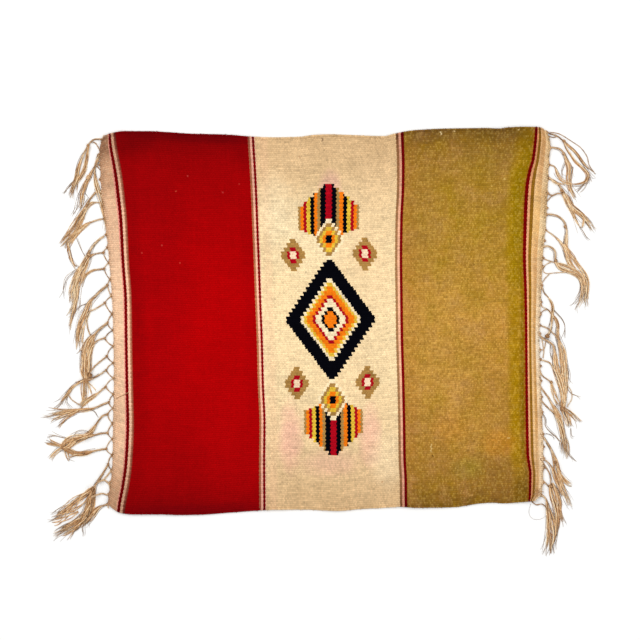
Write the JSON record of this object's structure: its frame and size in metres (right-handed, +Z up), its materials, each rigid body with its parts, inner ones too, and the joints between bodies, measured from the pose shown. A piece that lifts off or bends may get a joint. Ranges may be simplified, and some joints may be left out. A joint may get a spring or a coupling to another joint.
{
  "type": "mexican serape",
  "caption": "Small hand-woven wool serape laid flat: three wide colour bands, narrow stripe groups, a woven centre motif and knotted warp fringe at both ends.",
  "frame": {"origin": "under the middle of the whole piece, fringe included, on the surface it lies on", "axes": "+X along the warp, from the red band to the olive band; +Y along the weft, towards the upper selvage; +Z up out of the cloth's face"},
  "size_m": [0.829, 0.6452, 0.005],
  "materials": {
    "woven_wool": "matte weft-faced wool; red, cream and olive bands",
    "warp_yarn": "matte undyed twisted yarn"
  },
  "bodies": {
    "root": {"web": "woven_wool", "heading_left": "warp_yarn", "heading_right": "warp_yarn", "tassel_left_01": "warp_yarn", "tassel_left_02": "warp_yarn", "tassel_left_03": "warp_yarn", "tassel_left_04": "warp_yarn", "tassel_left_05": "warp_yarn", "tassel_left_06": "warp_yarn", "tassel_left_07": "warp_yarn", "tassel_left_08": "warp_yarn", "tassel_left_09": "warp_yarn", "tassel_left_10": "warp_yarn", "tassel_left_11": "warp_yarn", "tassel_right_01": "warp_yarn", "tassel_right_02": "warp_yarn", "tassel_right_03": "warp_yarn", "tassel_right_04": "warp_yarn", "tassel_right_05": "warp_yarn", "tassel_right_06": "warp_yarn", "tassel_right_07": "warp_yarn", "tassel_right_08": "warp_yarn", "tassel_right_09": "warp_yarn", "tassel_right_10": "warp_yarn", "tassel_right_11": "warp_yarn"}
  },
  "joints": []
}
